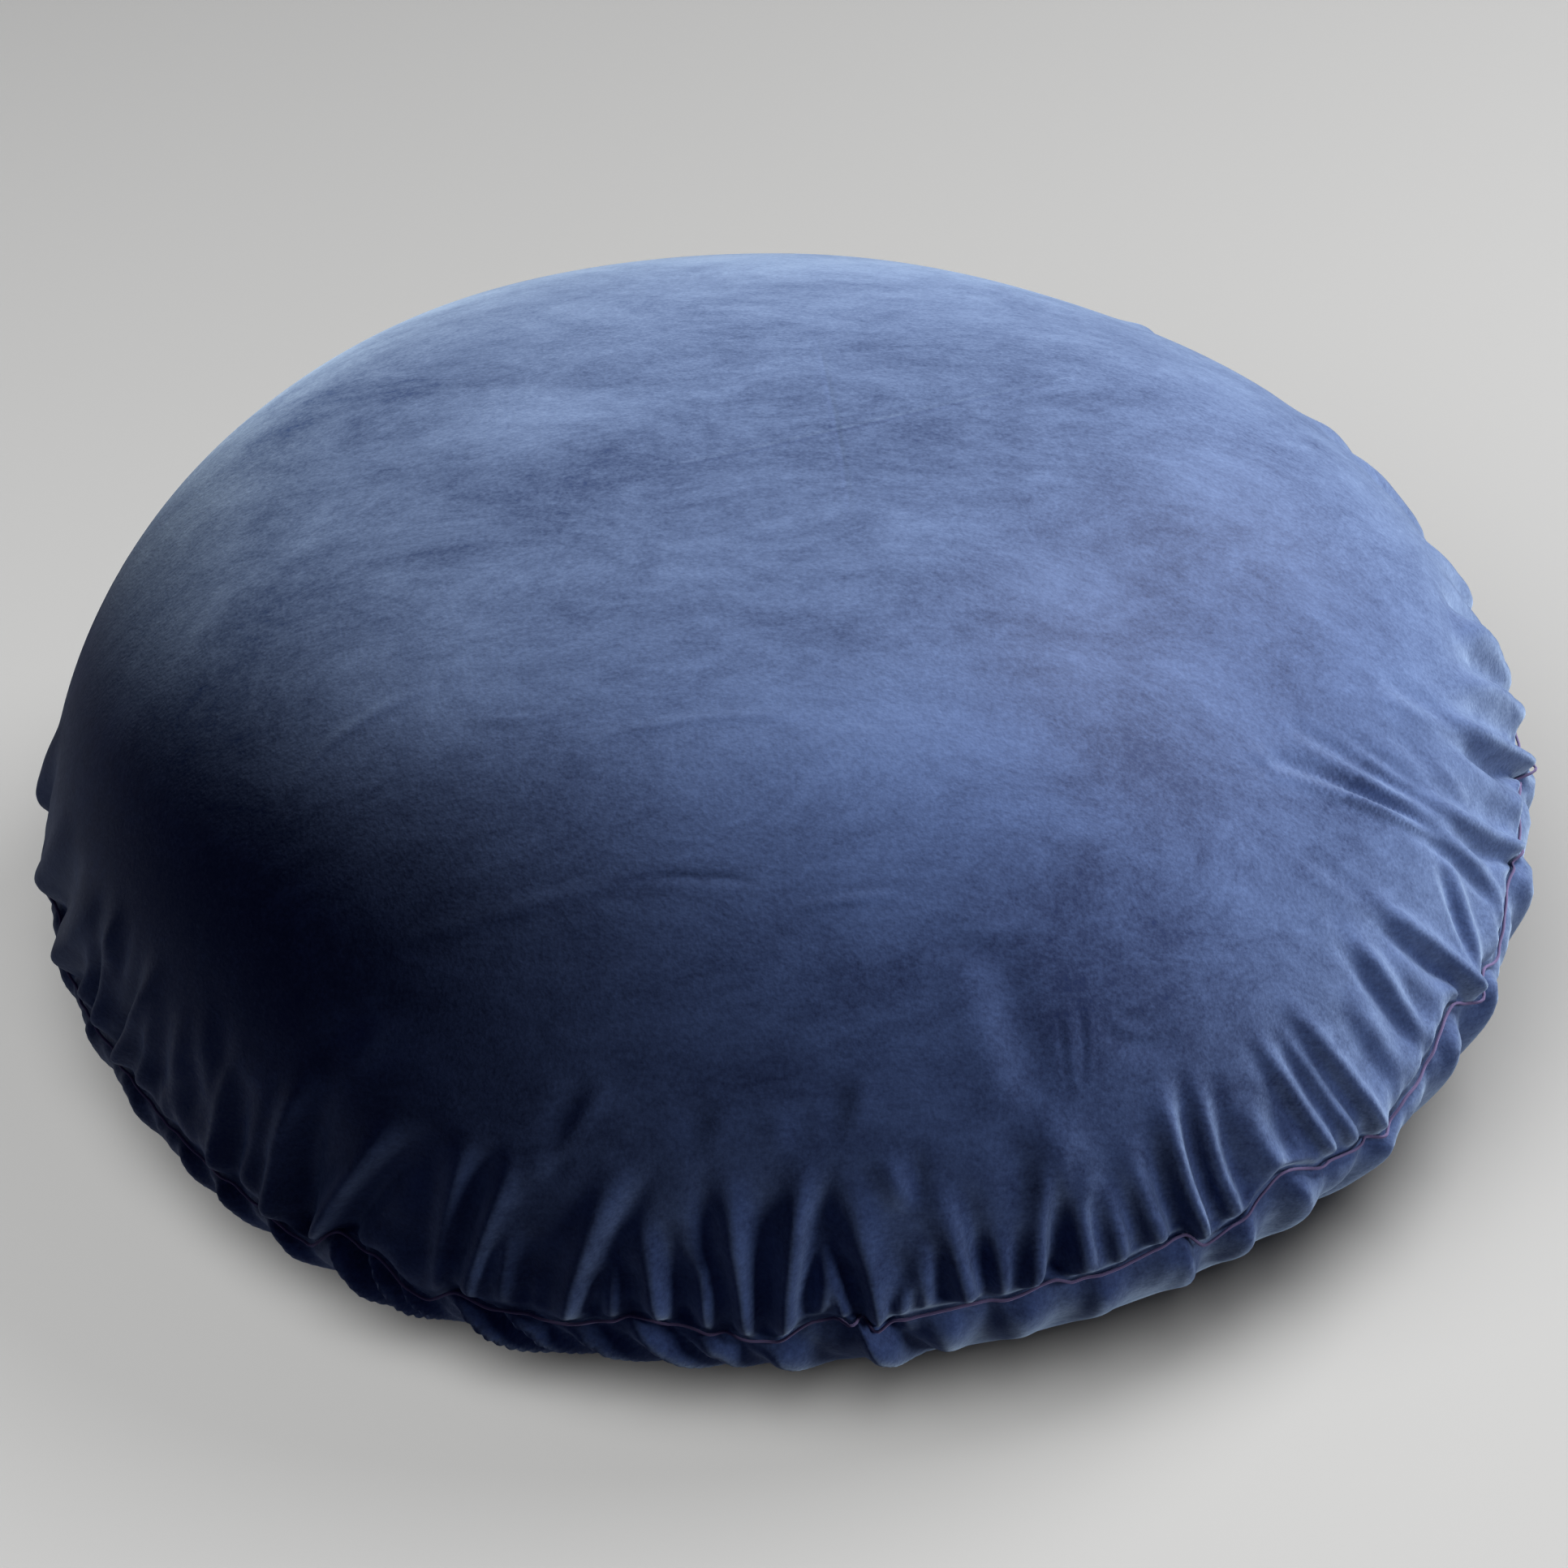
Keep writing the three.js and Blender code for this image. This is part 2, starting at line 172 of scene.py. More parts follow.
# how every fold is shaped; its hollows are measured in the width of its own row
foldShape = {
    "spread": 0.4,            # this much wider at its far end
    "seamStart": 12,          # a fold that starts lower than this, in mm, reaches the seam
    "riseBefore": 5,          # and comes up over these mm
    "riseOver": 13,
    "fade": 0.9,
    "hollowAside": 1.5,
    "hollowWidth": 0.8,
    "hollowOfTwo": 0.6,       # each hollow's share where both sides have one
    "sinkShare": 0.95,        # how far the cloth sinks between two gathers that leave side by side
    "sinkFull": 20,           # in mm between the two
    "sinkNone": 66,
    "sinkFade": 24,
    "leastGap": 4,
}

# how the cloth settles above the seam
settle = {
    "rounds": 6,
    "fullness": 0.3,          # the cut panel is this much longer than the seam it is gathered into
    "fullnessReach": 130,
    "fullnessFrom": 9,
    "fullnessPower": 0.8,
    "acrossPull": 0.16,       # threads round the pillow, and up and down it
    "upPull": 0.14,
    "stiffness": 0.02,
    "glide": 0.88,
    "holdLow": 0.002,         # pull back to the plain form, at the seam and far from it
    "holdHigh": 0.2,
    "holdFrom": 0.55,
    "holdOver": 0.75,
    "farIn": 14,              # how far in the filling lets it go, and how far out it may stand
    "farOut": 9,
    "bandHigh": 210,          # it settles up to this far above the seam
}

# the grid of columns round the pillow and rings up it
grid = {
    "frontColumns": 640,      # round the front half
    "backColumns": 320,       # round the back half
    "footSamples": 40,        # to measure a column's outline
    "wallSamples": 220,
    "wallCrowding": 1.6,
    "lowRings": 24,
    "lowCrowding": 1.25,
    "crownRings": 15,
    "halfFrom": 150,          # every second column goes on above this
    "quarterFrom": 260,
    "eighthInside": 150,      # and every eighth inside this radius
    "footShares": (0.9, 0.75, 0.5, 0.25),    # the foot's inner rings, as shares of its outline
    "footUvStart": 380,       # the foot's radius on the cut bottom panel
}

# rings above the seam, finest beside it
stepColumns = ("first", "last", "smallest", "largest", "until")
stepRows = [(1.2, 150, 1.4, 3.3, 30), (150, 330, 3.6, 7, 160)]

# every 30 degrees round: the seam's radius and height, and how full the side and the crown stand
rimColumns = ("angle", "radius", "seamHeight", "fullness", "crownPower")
rimRows = [
    (0, 449, 140, 1.5, 2.7), (30, 440, 183, 1.7, 2.7), (60, 433, 205, 1.8, 2.7),
    (90, 434, 187, 2.7, 2.7), (120, 440, 146, 3.4, 2.7), (150, 447, 111, 2.75, 2.7),
    (180, 450, 90, 2.1, 2.7), (210, 432, 66, 2.4, 2.8), (240, 425, 53, 2.1, 3.0),
    (270, 420, 56, 1.9, 3.0), (300, 431, 75, 1.6, 3.0), (330, 439, 98, 1.2, 2.8),
]

# where the sewn line climbs (+) or dips (-) along the side
wanderColumns = ("angle", "rise")
wanderRows = [
    (10, 4), (28, -5), (47, 6), (71, -4), (95, 5), (118, -6), (141, 5), (163, -4),
    (183, 6), (196, -5), (208, 4), (223.5, 2), (227.7, 1), (232, -8), (235.6, 15), (238.5, 12),
    (242.9, -8), (245.6, 6), (248, 1), (251, 3), (254, 1), (257.5, 8), (259, 12.5), (262, 9),
    (265, 4), (269.2, -2), (272.2, 11), (274.8, 15), (276.5, 0), (278, 7), (283.7, 10),
    (286.2, 8), (289.4, 12.5), (291, 8), (294, 7), (299.6, 12), (301.5, -2), (304, 2),
    (308.5, 18), (313, 4), (316.3, -1), (319.2, -6), (323, 2), (330.4, 18), (334, 0),
    (336, 8), (338.3, 0), (344.2, 17), (348, 14), (352.5, 24), (357, 8),
]

# gathers above the seam; side -1 or 1 puts the deeper hollow left or right of the ridge, 0 on both
foldColumns = ("angle", "lean", "bow", "start", "end", "width", "proud", "hollow", "side")
foldRows = [
    # back, where nothing shows: plain, uneven gathers
    (6, -5, 0, 2, 110, 11, 8, 5, 1), (15, -3, 1, 4, 90, 9, 6, 5, 0), (23, 2, 0, 2, 120, 10, 7, 5, -1),
    (33, -3, 0, 3, 105, 11, 9, 6, 1), (44, 4, -1, 2, 85, 9, 6, 5, 0), (54, -2, 0, 4, 120, 10, 8, 5, 1),
    (63, 3, 1, 2, 95, 10, 7, 5, -1), (74, -4, 0, 3, 115, 11, 9, 6, 1), (83, 2, 0, 2, 80, 9, 6, 4, 0),
    (92, -2, 0, 4, 125, 10, 8, 5, -1), (103, 4, 1, 2, 100, 11, 9, 6, 1), (112, -3, 0, 3, 85, 9, 6, 4, 0),
    (121, 2, 0, 2, 120, 10, 8, 5, -1), (132, -4, -1, 4, 95, 11, 8, 6, 1), (142, 3, 0, 2, 115, 10, 7, 5, 0),
    (151, -2, 0, 3, 90, 10, 9, 6, -1), (161, 4, 0, 2, 120, 11, 8, 5, 1), (170, -3, 0, 4, 100, 9, 7, 5, 0),
    (179, 4, 0, 2, 90, 10, 9, 6, 1),
    # left
    (187.5, 8, 0.5, 0, 100, 14, 8, 9, 1), (195, 9, 1, 0, 95, 14, 8, 5, 1),
    (201, 5, 0, 6, 90, 10, 4, 3, 1), (205, 3, 0, 8, 125, 8, 5, 4, -1), (207, 1.6, 0, 60, 115, 6, 4, 3, 1),
    (208.7, 7, 0.4, 2, 118, 7, 8, 6, -1), (213, 2.4, 0, 8, 90, 8, 4, 3, 1),
    (217.5, 2, 0, 14, 100, 9, 4, 3, 1), (221, 1.2, 0, 50, 125, 8, 4, 3, 1),
    (223, 1.2, 0, 2, 84, 7, 6, 4, 1), (226.6, 2.5, 0, 12, 100, 8, 3, 2, 1),
    (229.4, 6.2, -1.4, 3, 152, 9, 10, 8, 1), (234, 8, -0.7, 2, 118, 9, 11, 12, 1),
    # front
    (244.7, 2.2, 0, 3, 135, 9, 6, 4, 0), (246.6, 4, -0.5, 4, 112, 7, 10, 8, -1),
    (249.3, 0.8, 0, 8, 62, 6, 4, 4, 1), (251, 3.5, 0, 86, 148, 7, 4, 3, 1),
    (254.3, 5, -0.6, 4, 126, 8, 8, 5, 1), (257.8, -0.5, 0, 4, 48, 5, 5, 4, 1),
    (261.2, -1.4, 0, 3, 74, 6, 8, 5, 1), (262.6, 1, 0, 100, 142, 8, 3, 2, 1),
    (264.9, -0.6, 0, 2, 56, 5, 7, 5, 1), (267, -1.2, 0, 2, 112, 7, 8, 6, -1),
    (270.2, 1.7, -0.4, 3, 116, 6, 10, 7, 1), (270.8, 1, 0, 96, 140, 8, 4, 2, -1),
    (272.6, 0, 0, 10, 38, 4, 4, 3, 0), (274.9, -1.8, 0, -6, 52, 5, 11, 9, 1),
    (276.4, -1.6, 0, 4, 98, 8, 9, 6, -1), (273.5, 0.6, 0, 112, 150, 8, 3, 2, 1),
    (278.2, 0.6, 0, 4, 30, 4, 4, 3, 1), (278.6, -1.6, 0, 74, 122, 7, 5, 4, 1),
    (279.9, 0, 0, 10, 56, 6, 4, 3, 0), (283.4, -2.4, 0, 4, 86, 7, 8, 5, 1),
    (285.4, 0, 0, 6, 52, 6, 4, 3, 0), (288, 1, 0, 4, 88, 8, 9, 7, 1),
    (292, -4.4, 0, 4, 225, 13, 6, 3, -1), (294.6, -0.6, 0, 6, 60, 6, 4, 3, -1),
    (291.7, 0.8, 0, 108, 172, 2.5, 0.6, 0.5, 1), (293, 1.6, 0, 110, 165, 2.5, 0.7, 0.6, 1),
    # right front
    (297.6, -2, 0, 6, 80, 7, 5, 4, 0), (301.3, -2, -0.6, 6, 110, 7, 10, 9, 1),
    (303.8, -2, -0.5, 8, 104, 7, 7, 5, 1), (308, -2, 0, 12, 70, 8, 4, 3, 1),
    (313.6, -5.4, 0, 4, 108, 5, 5, 4, -1), (316, -4.8, 0, 4, 100, 5, 5, 3, -1),
    (319, -7.5, 0, -2, 124, 6, 7, 5, -1), (322.4, -3, 0, 13, 84, 7, 3, 2, -1),
    (326, -5, 0.3, 13, 132, 6, 6, 4, -1), (329.6, -4, 0, 13, 80, 8, 3, 2, 0),
    (334.2, -11.7, 0.6, 0, 156, 6, 9, 6, -1), (335.6, 2.2, 0, 14, 80, 5, 3, 3, -1),
    (341.5, -16.5, 3.5, 14, 214, 5, 8, 6, -1), (347.6, -15.6, -0.3, 0, 210, 5.5, 9, 7, -1),
    (341.5, -5, 0, 90, 178, 4, 2.5, 2, -1), (344.5, -3, 0, 70, 150, 6, 3, 2, -1),
    (351, -5, 0, 10, 96, 9, 3, 3, 1), (357.5, -11.5, -1, -4, 165, 7, 10, 9, -1),
    (2.4, -12, 1, 6, 132, 12, 8, 6, 1), (7, -6, 0, 26, 106, 11, 8, 8, 1),
]

# tucks in the strip below the seam, measured down from it
tuckRows = [
    (194, 4, 0, 2, 72, 9, 4, 3, 1), (202, 4, 0, 2, 64, 9, 3, 2, 1), (210, 5, 0, 2, 58, 9, 3, 3, 1),
    (218, 5, 0, 2, 56, 8, 3, 2, 1), (223, 5, 0, 2, 56, 8, 4, 3, 1), (229, 5, 0, 2, 54, 8, 4, 3, 1),
    (235, 6, 0.5, 1, 58, 8, 8, 7, 1), (238.4, 6, 0.5, 1, 56, 7, 6, 5, 1),
    (241, 5, 0, 2, 50, 6, 5, 4, 1), (245.6, 9, 1, 1, 58, 8, 8, 7, 1), (249.6, 7, 1, 1, 54, 7, 4, 4, 1),
    (254.2, 7, 0.6, 1, 50, 7, 4, 5, 1), (258.8, 7, 0.8, 1, 52, 8, 5, 6, 1),
    (264.4, 4, 0, 1, 44, 7, 3, 4, 1),
    (269, 4, 0, 1, 52, 8, 6, 5, 1), (275.4, 5, 0, -4, 56, 7, 9, 8, 1), (281, 2, 0, 3, 50, 9, 3, 3, 0),
    (287, 1, 0, 3, 54, 10, 3, 3, 0), (293, 1, 0, 3, 54, 10, 3, 3, 0), (299, 3, 0, 2, 60, 9, 5, 4, 1),
    (304.5, 2, 0, 2, 60, 9, 4, 4, 0), (310, 2, 0, 2, 70, 10, 5, 4, 0), (320, -3, 0, 2, 80, 11, 6, 5, -1),
    (329, -2, 0, 2, 84, 11, 5, 4, 0), (336, -4, 0, 2, 90, 12, 7, 5, -1), (347, -3, 0, 2, 100, 13, 7, 5, 0),
    (358, -2, 0, 2, 106, 13, 6, 4, 0), (10, 3, 0, 2, 110, 13, 8, 5, 0), (26, -3, 0, 2, 120, 14, 8, 5, 1),
    (45, 2, 0, 2, 130, 14, 9, 5, 0), (64, -3, 0, 2, 140, 15, 9, 6, -1), (84, 3, 0, 2, 145, 15, 8, 5, 0),
    (102, -2, 0, 2, 145, 14, 9, 6, 1), (120, 3, 0, 2, 135, 15, 8, 5, 0), (139, -3, 0, 2, 120, 14, 9, 6, -1),
    (157, 2, 0, 2, 105, 13, 8, 5, 0), (173, -3, 0, 2, 90, 12, 7, 5, 0), (184, 3, 0, 2, 80, 10, 6, 4, 1),
]

# broad dents (-) and swells (+) of the loose filling
lumpColumns = ("angle", "up", "spread", "proud")
lumpRows = [(-115, 300, 90, 4), (-40, 250, 80, -5), (25, 240, 85, 4), (100, 230, 95, -4), (165, 260, 80, 5)]
lumpRadius, lumpLeastRadius = 430, 60    # turn an angle into mm at the rim, and near the middle

# small uneven puckers right at the stitches: waves round the seam
puckerColumns = ("count", "shift", "share")
puckerRows = [(97, 0.7, 1), (151, 2.1, 0.7), (61, 4.0, 0.6), (203, 1.1, 0.5)]
puckerHeight, puckerAt, puckerReach = 0.55, 9, 12


def named(columns, rows):
    return [dict(zip(columns, row)) for row in rows]


def rimValue(key, angle):
    values = np.array([row[key] for row in named(rimColumns, rimRows)], float)
    place = (angle % 360) / 360 * len(values)
    first = np.floor(place).astype(int)
    part = place - first
    a, b, c, d = [values[(first + k) % len(values)] for k in (-1, 0, 1, 2)]
    return 0.5 * (2 * b + (c - a) * part + (2 * a - 5 * b + 4 * c - d) * part**2
                  + (3 * b - a - 3 * c + d) * part**3)


def seamRise(angle):
    rows = named(wanderColumns, wanderRows)
    at = np.array([rows[-1]["angle"] - 360] + [row["angle"] for row in rows] + [rows[0]["angle"] + 360])
    rise = np.array([rows[-1]["rise"]] + [row["rise"] for row in rows] + [rows[0]["rise"]], float)
    angle = angle % 360
    nextPoint = np.clip(np.searchsorted(at, angle, side="right"), 1, len(at) - 1)
    part = (angle - at[nextPoint - 1]) / (at[nextPoint] - at[nextPoint - 1])
    # eased, so that the seam is round at the top of a climb and at the foot of a dip
    ease = part * part * (3 - 2 * part)
    return rise[nextPoint - 1] + (rise[nextPoint] - rise[nextPoint - 1]) * ease


def smoothStep(value):
    value = np.clip(value, 0, 1)
    return value * value * (3 - 2 * value)


def bell(distance, at, width):
    return np.exp(-(((distance - at) / width) ** 2))


def wrapDegrees(angle):
    return (angle + 180) % 360 - 180


def sections(angles):
    # every column's outline from the edge of the foot to the crown, as (column, sample) arrays
    radius, seamHeight = rimValue("radius", angles)[:, None], rimValue("seamHeight", angles)[:, None]
    fullness, power = rimValue("fullness", angles)[:, None], rimValue("crownPower", angles)[:, None]
    turnIn = pillow["turnIn"] * (seamHeight / pillow["turnHeight"]) ** pillow["turnPower"]
    turn = np.radians(90 * (1 - np.arange(grid["footSamples"]) / grid["footSamples"]))[None, :]
    lowOut = radius - turnIn * (1 - np.cos(turn))
    lowUp = seamHeight * (1 - np.sin(turn))
    share = (1 - np.linspace(0, 1, grid["wallSamples"]))[None, :] ** grid["wallCrowding"]
    highOut = radius * share
    climb = (1 - share**power) ** (1 / fullness)
    highUp = seamHeight + (pillow["crownHeight"] - seamHeight) * climb
    inner = np.concatenate([np.zeros_like(lowOut), np.broadcast_to(1 - share, highOut.shape)], 1)
    out, up = np.concatenate([lowOut, highOut], 1), np.concatenate([lowUp, highUp], 1)
    steps = np.hypot(np.diff(out, axis=1), np.diff(up, axis=1))
    along = np.concatenate([np.zeros((len(angles), 1)), np.cumsum(steps, axis=1)], 1)
    seamAt = along[:, grid["footSamples"]].copy()
    return {"out": out, "up": up, "inner": inner, "along": along - seamAt[:, None],
            "below": seamAt, "above": along[:, -1] - seamAt}


def foldCentre(row, angle, distance):
    # how far along the fold (0 to 1), and how far to the left or right of its middle line in mm
    part = (distance - row["start"]) / (row["end"] - row["start"])
    centre = row["angle"] + row["lean"] * part + row["bow"] * 4 * part * (1 - part)
    return part, np.radians(wrapDegrees(angle - centre)) * pillow["rimRadius"]


def foldStrength(row, part, distance):
    inside = np.clip(part, 0, 1)
    if row["start"] > foldShape["seamStart"]:
        return np.sin(np.pi * inside)
    rise = smoothStep((distance - row["start"] + foldShape["riseBefore"]) / foldShape["riseOver"])
    return rise * np.cos(np.pi / 2 * inside) ** foldShape["fade"]


def ridgeHeight(row, angle, distance):
    # one soft ridge with its hollow on one side or on both
    part, aside = foldCentre(row, angle, distance)
    offset = aside / (row["width"] * (1 + foldShape["spread"] * np.clip(part, 0, 1)))
    sides, share = ((-1, 1), foldShape["hollowOfTwo"]) if row["side"] == 0 else ((row["side"],), 1)
    hollow = np.zeros_like(offset)
    for side in sides:
        hollow += bell(offset, foldShape["hollowAside"] * side, foldShape["hollowWidth"]) * share
    relief = row["proud"] * np.exp(-(offset**2)) - row["hollow"] * hollow
    return foldStrength(row, part, distance) * relief


def sinkBetween(left, right, angle, distance):
    # the cloth sinks between two gathers that leave the seam side by side
    partLeft, fromLeft = foldCentre(left, angle, distance)
    partRight, fromRight = foldCentre(right, angle, distance)
    gap = fromLeft - fromRight
    share = np.clip(fromLeft / np.maximum(gap, foldShape["leastGap"]), 0, 1)
    depth = np.minimum(left["proud"] * foldStrength(left, partLeft, distance),
                       right["proud"] * foldStrength(right, partRight, distance))
    depth = depth * np.clip((foldShape["sinkNone"] - gap) / foldShape["sinkFade"], 0, 1)
    depth = depth * np.clip(gap / foldShape["sinkFull"], 0, 1)
    return foldShape["sinkShare"] * depth * np.sin(np.pi * share) ** 2


def foldHeight(rows, angle, distance):
    rows = named(foldColumns, rows)
    total = np.zeros_like(distance)
    for row in rows:
        total += ridgeHeight(row, angle, distance)
    gathers = [row for row in rows if row["start"] <= foldShape["seamStart"]]
    gathers.sort(key=lambda row: row["angle"])
    for left, right in zip(gathers, gathers[1:] + gathers[:1]):
        total -= sinkBetween(left, right, angle, distance)
    return total


def lumpHeight(angle, distance):
    total = np.zeros_like(distance)
    for row in named(lumpColumns, lumpRows):
        aside = np.radians(wrapDegrees(angle - row["angle"])) * max(lumpRadius - row["up"], lumpLeastRadius)
        total += row["proud"] * np.exp(-(aside**2 + (distance - row["up"]) ** 2) / row["spread"] ** 2)
    return total


def puckers(angle, distance):
    wave = np.zeros_like(distance)
    for row in named(puckerColumns, puckerRows):
        wave += row["share"] * np.sin(row["count"] * np.radians(angle) + row["shift"])
    return puckerHeight * wave * bell(np.abs(distance), puckerAt, puckerReach)


def pillowPoints(angles, distances, folded=True):
    # distances: (column, ring) in mm up (+) or down (-) from the sewn line
    shape = sections(angles)
    angle = np.broadcast_to(angles[:, None], distances.shape)
    fromSeam = np.abs(distances)
    rise = seamRise(angles)[:, None] * np.exp(-fromSeam / pillow["wanderReach"])
    along = np.clip(distances + rise, -shape["below"][:, None], shape["above"][:, None])
    found = {key: np.empty_like(distances) for key in ("out", "up", "inner", "normalOut", "normalUp")}
    for c in range(len(angles)):
        track = shape["along"][c]
        for key in ("out", "up", "inner"):
            found[key][c] = np.interp(along[c], track, shape[key][c])
        slopeOut, slopeUp = np.gradient(shape["out"][c], track), np.gradient(shape["up"][c], track)
        found["normalOut"][c] = np.interp(along[c], track, slopeUp)
        found["normalUp"][c] = -np.interp(along[c], track, slopeOut)
    length = np.hypot(found["normalOut"], found["normalUp"])
    upper = distances >= 0
    push = -pillow["grooveDepth"] * bell(distances, 0, pillow["grooveWidth"])
    push += pillow["lipProud"] * bell(fromSeam, pillow["lipAt"], pillow["lipWidth"])
    push -= pillow["pullIn"] * bell(fromSeam, pillow["pullAt"], pillow["pullReach"])
    push += np.where(upper, lumpHeight(angle, distances), 0)
    if folded:
        push += np.where(upper, foldHeight(foldRows, angle, distances),
                         foldHeight(tuckRows, angle, -distances))
        push += puckers(angle, distances)
    onFloor = smoothStep((shape["below"][:, None] + distances) / pillow["flatEdge"])
    push *= np.where(upper, 1, onFloor)
    out = found["out"] + push * found["normalOut"] / length
    up = np.maximum(found["up"] + push * found["normalUp"] / length, 0)
    turn = np.radians(angle)
    x = out * np.cos(turn)
    y = out * np.sin(turn) + pillow["crownShiftBack"] * found["inner"]
    return np.stack([x, y, up], -1), shape


def threadPull(spans, rest, strength):
    # how far each thread that is too long or too short draws its ends
    length = np.linalg.norm(spans, axis=-1)
    return spans * (strength * (1 - rest / length))[..., None]


def easeCloth(folded, plain, distances):
    # Settles the folded cloth above the seam, a grid of (column, ring) points that closes round the pillow.
    # Threads pull towards the cut panel's length, the filling holds them back, and the folds take up
    # what is too long. These few rounds reach only part of that length.
    # The first ring, the sewn line, stays where it is, and so do the last two.
    after, before = np.roll(plain, -1, 0), np.roll(plain, 1, 0)
    outward = np.cross(after - before, np.gradient(plain, axis=1))
    outward /= np.linalg.norm(outward, axis=-1, keepdims=True)
    reach = settle["fullnessReach"]
    extra = settle["fullness"] * smoothStep(distances / settle["fullnessFrom"])
    extra = extra * np.clip(1 - distances / reach, 0, 1) ** settle["fullnessPower"]
    acrossRest = np.linalg.norm(after - plain, axis=-1) * (1 + extra)
    upRest = np.linalg.norm(np.diff(plain, axis=1), axis=-1)
    away = smoothStep((distances - settle["holdFrom"] * reach) / (settle["holdOver"] * reach))
    hold = settle["holdLow"] + settle["holdHigh"] * away[..., None]
    cloth = folded.copy()
    glide = np.zeros_like(cloth)
    for _ in range(settle["rounds"]):
        move = np.zeros_like(cloth)
        pull = threadPull(np.roll(cloth, -1, 0) - cloth, acrossRest, settle["acrossPull"])
        move += pull - np.roll(pull, 1, 0)
        pull = threadPull(np.diff(cloth, axis=1), upRest, settle["upPull"])
        move[:, :-1] += pull
        move[:, 1:] -= pull
        bend = np.roll(cloth, 1, 0) + np.roll(cloth, -1, 0) - 2 * cloth
        move -= settle["stiffness"] * (np.roll(bend, 1, 0) + np.roll(bend, -1, 0) - 2 * bend)
        move[:, 1:-1] += settle["stiffness"] * (cloth[:, 2:] + cloth[:, :-2] - 2 * cloth[:, 1:-1])
        move += hold * (plain - cloth)
        move[:, 0] = 0
        move[:, -2:] = 0
        glide = settle["glide"] * glide + move
        cloth += glide
        depth = ((cloth - plain) * outward).sum(-1, keepdims=True)
        cloth += (np.clip(depth, -settle["farIn"], settle["farOut"]) - depth) * outward
    print("cloth settled in", settle["rounds"], "rounds")
    return cloth


def ringSteps(first, last, smallest, largest, until):
    # distances that start fine and grow coarser
    made, here = [], first
    while here < last:
        made.append(here)
        grow = min(max((here - first) / until, 0), 1)
        here += smallest + (largest - smallest) * grow
    return made


def columnAngles():
    front = 180 + 180 * np.arange(grid["frontColumns"]) / grid["frontColumns"]
    back = 180 * np.arange(grid["backColumns"]) / grid["backColumns"]
    return np.concatenate([back, front])


def ringDistances(shape):
    # every ring's distance from the sewn line in each column, the number of rings below that line,
    # and the even distances of the first rings above it
    below, above = shape["below"][:, None], shape["above"][:, None]
    upper = np.array(sum((ringSteps(**row) for row in named(stepColumns, stepRows)), []))
    lowShares = np.linspace(0, 1, grid["lowRings"] + 1)[1:] ** grid["lowCrowding"]
    crownShares = np.linspace(1, 0, grid["crownRings"] + 2)[1:-1]
    lower = -lowShares[None, ::-1] * below
    crown = above - (above - upper[-1]) * crownShares[None, :]
    beside = np.broadcast_to(upper, (len(below), len(upper)))
    return np.concatenate([lower, np.zeros_like(below), beside, crown], 1), len(lowShares), upper


def ringStride(distances, points):
    # how many columns a ring steps over, so faces stay near square towards the crown
    if np.hypot(points[:, 0], points[:, 1]).mean() < grid["eighthInside"]:
        return 8
    if distances.mean() > grid["quarterFrom"]:
        return 4
    return 2 if distances.mean() > grid["halfFrom"] else 1


def panelPlace(fromMiddle, angle):
    # where a point lies on the cut panel, in metres
    turn = math.radians(angle)
    return fromMiddle / 1000 * math.cos(turn), fromMiddle / 1000 * math.sin(turn)


def joinRings(low, high):
    # faces between two rings, the upper with as many points or half as many
    faces = []
    for i in range(len(high)):
        j = (i + 1) % len(high)
        if len(low) == len(high):
            faces.append((low[i], low[j], high[j], high[i]))
        else:
            a, b, c = low[2 * i], low[2 * i + 1], low[(2 * i + 2) % len(low)]
            faces += [(a, b, high[i]), (b, high[j], high[i]), (b, c, high[j])]
    return faces


def closeCrown(verts, uvs, faces, last):
    top = len(verts)
    verts.append(np.array([0, pillow["crownShiftBack"], pillow["crownHeight"]]))
    uvs.append((0, 0))
    faces += [(last[i], last[(i + 1) % len(last)], top) for i in range(len(last))]


def closeFoot(verts, uvs, faces, rim):
    # the flat foot closes with a few shrinking rings
    outer = rim
    for share in grid["footShares"]:
        inner = list(range(len(verts), len(verts) + len(rim)))
        for v in rim:
            verts.append(verts[v] * np.array([share, share, 0]))
            uvs.append((uvs[v][0] * share, uvs[v][1] * share))
        faces += [(outer[i], inner[i], inner[(i + 1) % len(inner)], outer[(i + 1) % len(outer)])
                  for i in range(len(outer))]
        outer = inner
    middle = len(verts)
    verts.append(np.zeros(3))
    uvs.append((0, 0))
    faces += [(outer[(i + 1) % len(outer)], outer[i], middle) for i in range(len(outer))]


def toneAndPaintedLightAt(places):
    # how much lighter or darker each point is drawn: partly the pile's own tone, partly painted light and
    # shade
    pileToneAndPaintedLight = np.zeros(len(places))
    for row in named(toneAndPaintedLightColumns, toneAndPaintedLightRows):
        across = (places[:, 0] - row["x"]) / row["reachX"]
        deep = (places[:, 1] - row["y"]) / row["reachY"]
        pileToneAndPaintedLight += row["lift"] * np.exp(-(across**2 + deep**2)) * (places[:, 2] > toneAndPaintedLightLowest)
    return pileToneAndPaintedLight


